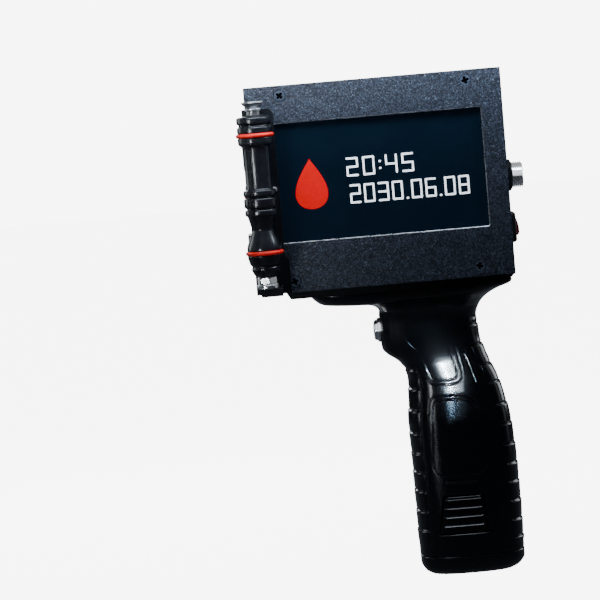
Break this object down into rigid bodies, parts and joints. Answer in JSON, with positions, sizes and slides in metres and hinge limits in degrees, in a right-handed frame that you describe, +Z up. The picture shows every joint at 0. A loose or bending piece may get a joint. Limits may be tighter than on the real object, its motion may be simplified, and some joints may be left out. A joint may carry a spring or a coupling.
{
  "type": "handheld date code inkjet printer",
  "caption": "Handheld pistol grip inkjet coder with a touch screen box, side guide rollers, trigger, pull out ink cartridge and battery pack.",
  "frame": {"origin": "centre of the grip foot on the surface it stands on", "axes": "+Z up along the grip, -X towards the print face, +X towards the rear sockets, -Y towards the side with the screen"},
  "size_m": [0.1316, 0.1103, 0.2355],
  "materials": {
    "powder_coat": "fine sand texture powder coat",
    "zinc_steel": "zinc plated",
    "bare_aluminium": "mill finish",
    "soft_rubber": "matt",
    "screen_glass": "polished glass over a dark display",
    "bare_steel": "satin",
    "circuit_board": "solder mask",
    "brass": "turned",
    "black_plastic": "moulded",
    "flex_cable": "film",
    "nickel": "nickel plated",
    "black_steel": "semi gloss black",
    "red_plastic": "gloss",
    "blue_plastic": "satin",
    "roller_plastic": "semi gloss turned acetal",
    "red_rubber": "satin silicone",
    "grip_plastic": "gloss moulded",
    "cable_sleeve": "braided sleeve",
    "cell_sleeve": "shrink film"
  },
  "bodies": {
    "printer": {"screen_panel": "powder_coat", "side_cover": "powder_coat", "housing_shell": "powder_coat", "print_plate": "powder_coat", "panel_screws": "zinc_steel", "corner_posts": "bare_aluminium", "display_gasket": "soft_rubber", "touch_glass": "screen_glass", "lcd_module": "bare_steel", "display_clamp": "bare_steel", "board_screws": "zinc_steel", "main_board": "circuit_board", "board_standoffs": "brass", "board_chips": "black_plastic", "ribbon_cable": "flex_cable", "socket_shell": "nickel", "socket_nut": "black_steel", "socket_insert": "black_plastic", "switch_bezel": "black_plastic", "usb_port": "bare_steel", "pen_stall": "black_plastic", "contact_block": "black_plastic", "stall_cable": "flex_cable", "near_bracket": "black_steel", "bracket_screws": "zinc_steel", "axle_screw": "zinc_steel", "axle_nut": "nickel", "axle_washers": "zinc_steel", "far_bracket": "black_steel", "spindle_bearings": "bare_steel", "encoder_sensor": "black_plastic", "encoder_cover": "black_plastic", "base_plate": "black_steel", "base_screws": "zinc_steel", "grip_near": "grip_plastic", "grip_far": "grip_plastic", "grip_screws": "zinc_steel", "trigger_bezel": "nickel", "trigger_spring": "bare_steel", "trigger_switch": "black_plastic", "power_cable": "cable_sleeve", "contact_plate": "circuit_board"},
    "roller": {"guide_roller": "roller_plastic", "roller_bushes": "black_plastic", "guide_o_rings": "red_rubber"},
    "encoder_roller": {"encoder_spindle": "bare_steel", "encoder_wheels": "roller_plastic", "encoder_o_rings": "red_rubber", "code_disc": "bare_steel"},
    "trigger": {"trigger_button": "nickel"},
    "rocker": {"switch_rocker": "red_plastic"},
    "cartridge": {"cartridge_body": "black_plastic", "nozzle_plate": "brass"},
    "cartridge_lever": {"lock_lever": "blue_plastic"},
    "battery_pack": {"battery_foot": "grip_plastic", "battery_cells": "cell_sleeve", "cell_holder": "black_plastic"},
    "near_release": {"release_button_near": "grip_plastic"},
    "far_release": {"release_button_far": "grip_plastic"},
    "dust_plug": {"usb_plug": "black_plastic"}
  },
  "joints": [
    {"name": "guide_roller_spin", "type": "hinge", "parent": "printer", "child": "roller", "pos_m": [-0.0854, -0.0463, 0.186], "axis": [0, 0, 1], "continuous": true},
    {"name": "encoder_roller_spin", "type": "hinge", "parent": "printer", "child": "encoder_roller", "pos_m": [-0.0854, 0.0463, 0.186], "axis": [0, 0, 1], "continuous": true},
    {"name": "trigger_press", "type": "slide", "parent": "printer", "child": "trigger", "axis": [1, 0, 0], "range_m": [0, 0.0015], "stiffness_N_per_m": 800},
    {"name": "power_switch_rock", "type": "hinge", "parent": "printer", "child": "rocker", "pos_m": [0.0275, 0, 0.1603], "axis": [0, 1, 0], "range_deg": [0, 20]},
    {"name": "cartridge_slide", "type": "slide", "parent": "printer", "child": "cartridge", "axis": [-1, 0, 0], "range_m": [0, 0.085]},
    {"name": "cartridge_lever_turn", "type": "hinge", "parent": "printer", "child": "cartridge_lever", "pos_m": [-0.0854, -0.006, 0.213], "axis": [-1, 0, 0], "range_deg": [0, 90]},
    {"name": "battery_pack_slide", "type": "slide", "parent": "printer", "child": "battery_pack", "axis": [0, 0, -1], "range_m": [0, 0.085]},
    {"name": "near_release_press", "type": "slide", "parent": "printer", "child": "near_release", "axis": [0, 1, 0], "range_m": [0, 0.0015], "stiffness_N_per_m": 600},
    {"name": "far_release_press", "type": "slide", "parent": "printer", "child": "far_release", "axis": [0, -1, 0], "range_m": [0, 0.0015], "stiffness_N_per_m": 600},
    {"name": "dust_plug_pull", "type": "slide", "parent": "printer", "child": "dust_plug", "axis": [1, 0, 0], "range_m": [0, 0.012]}
  ]
}
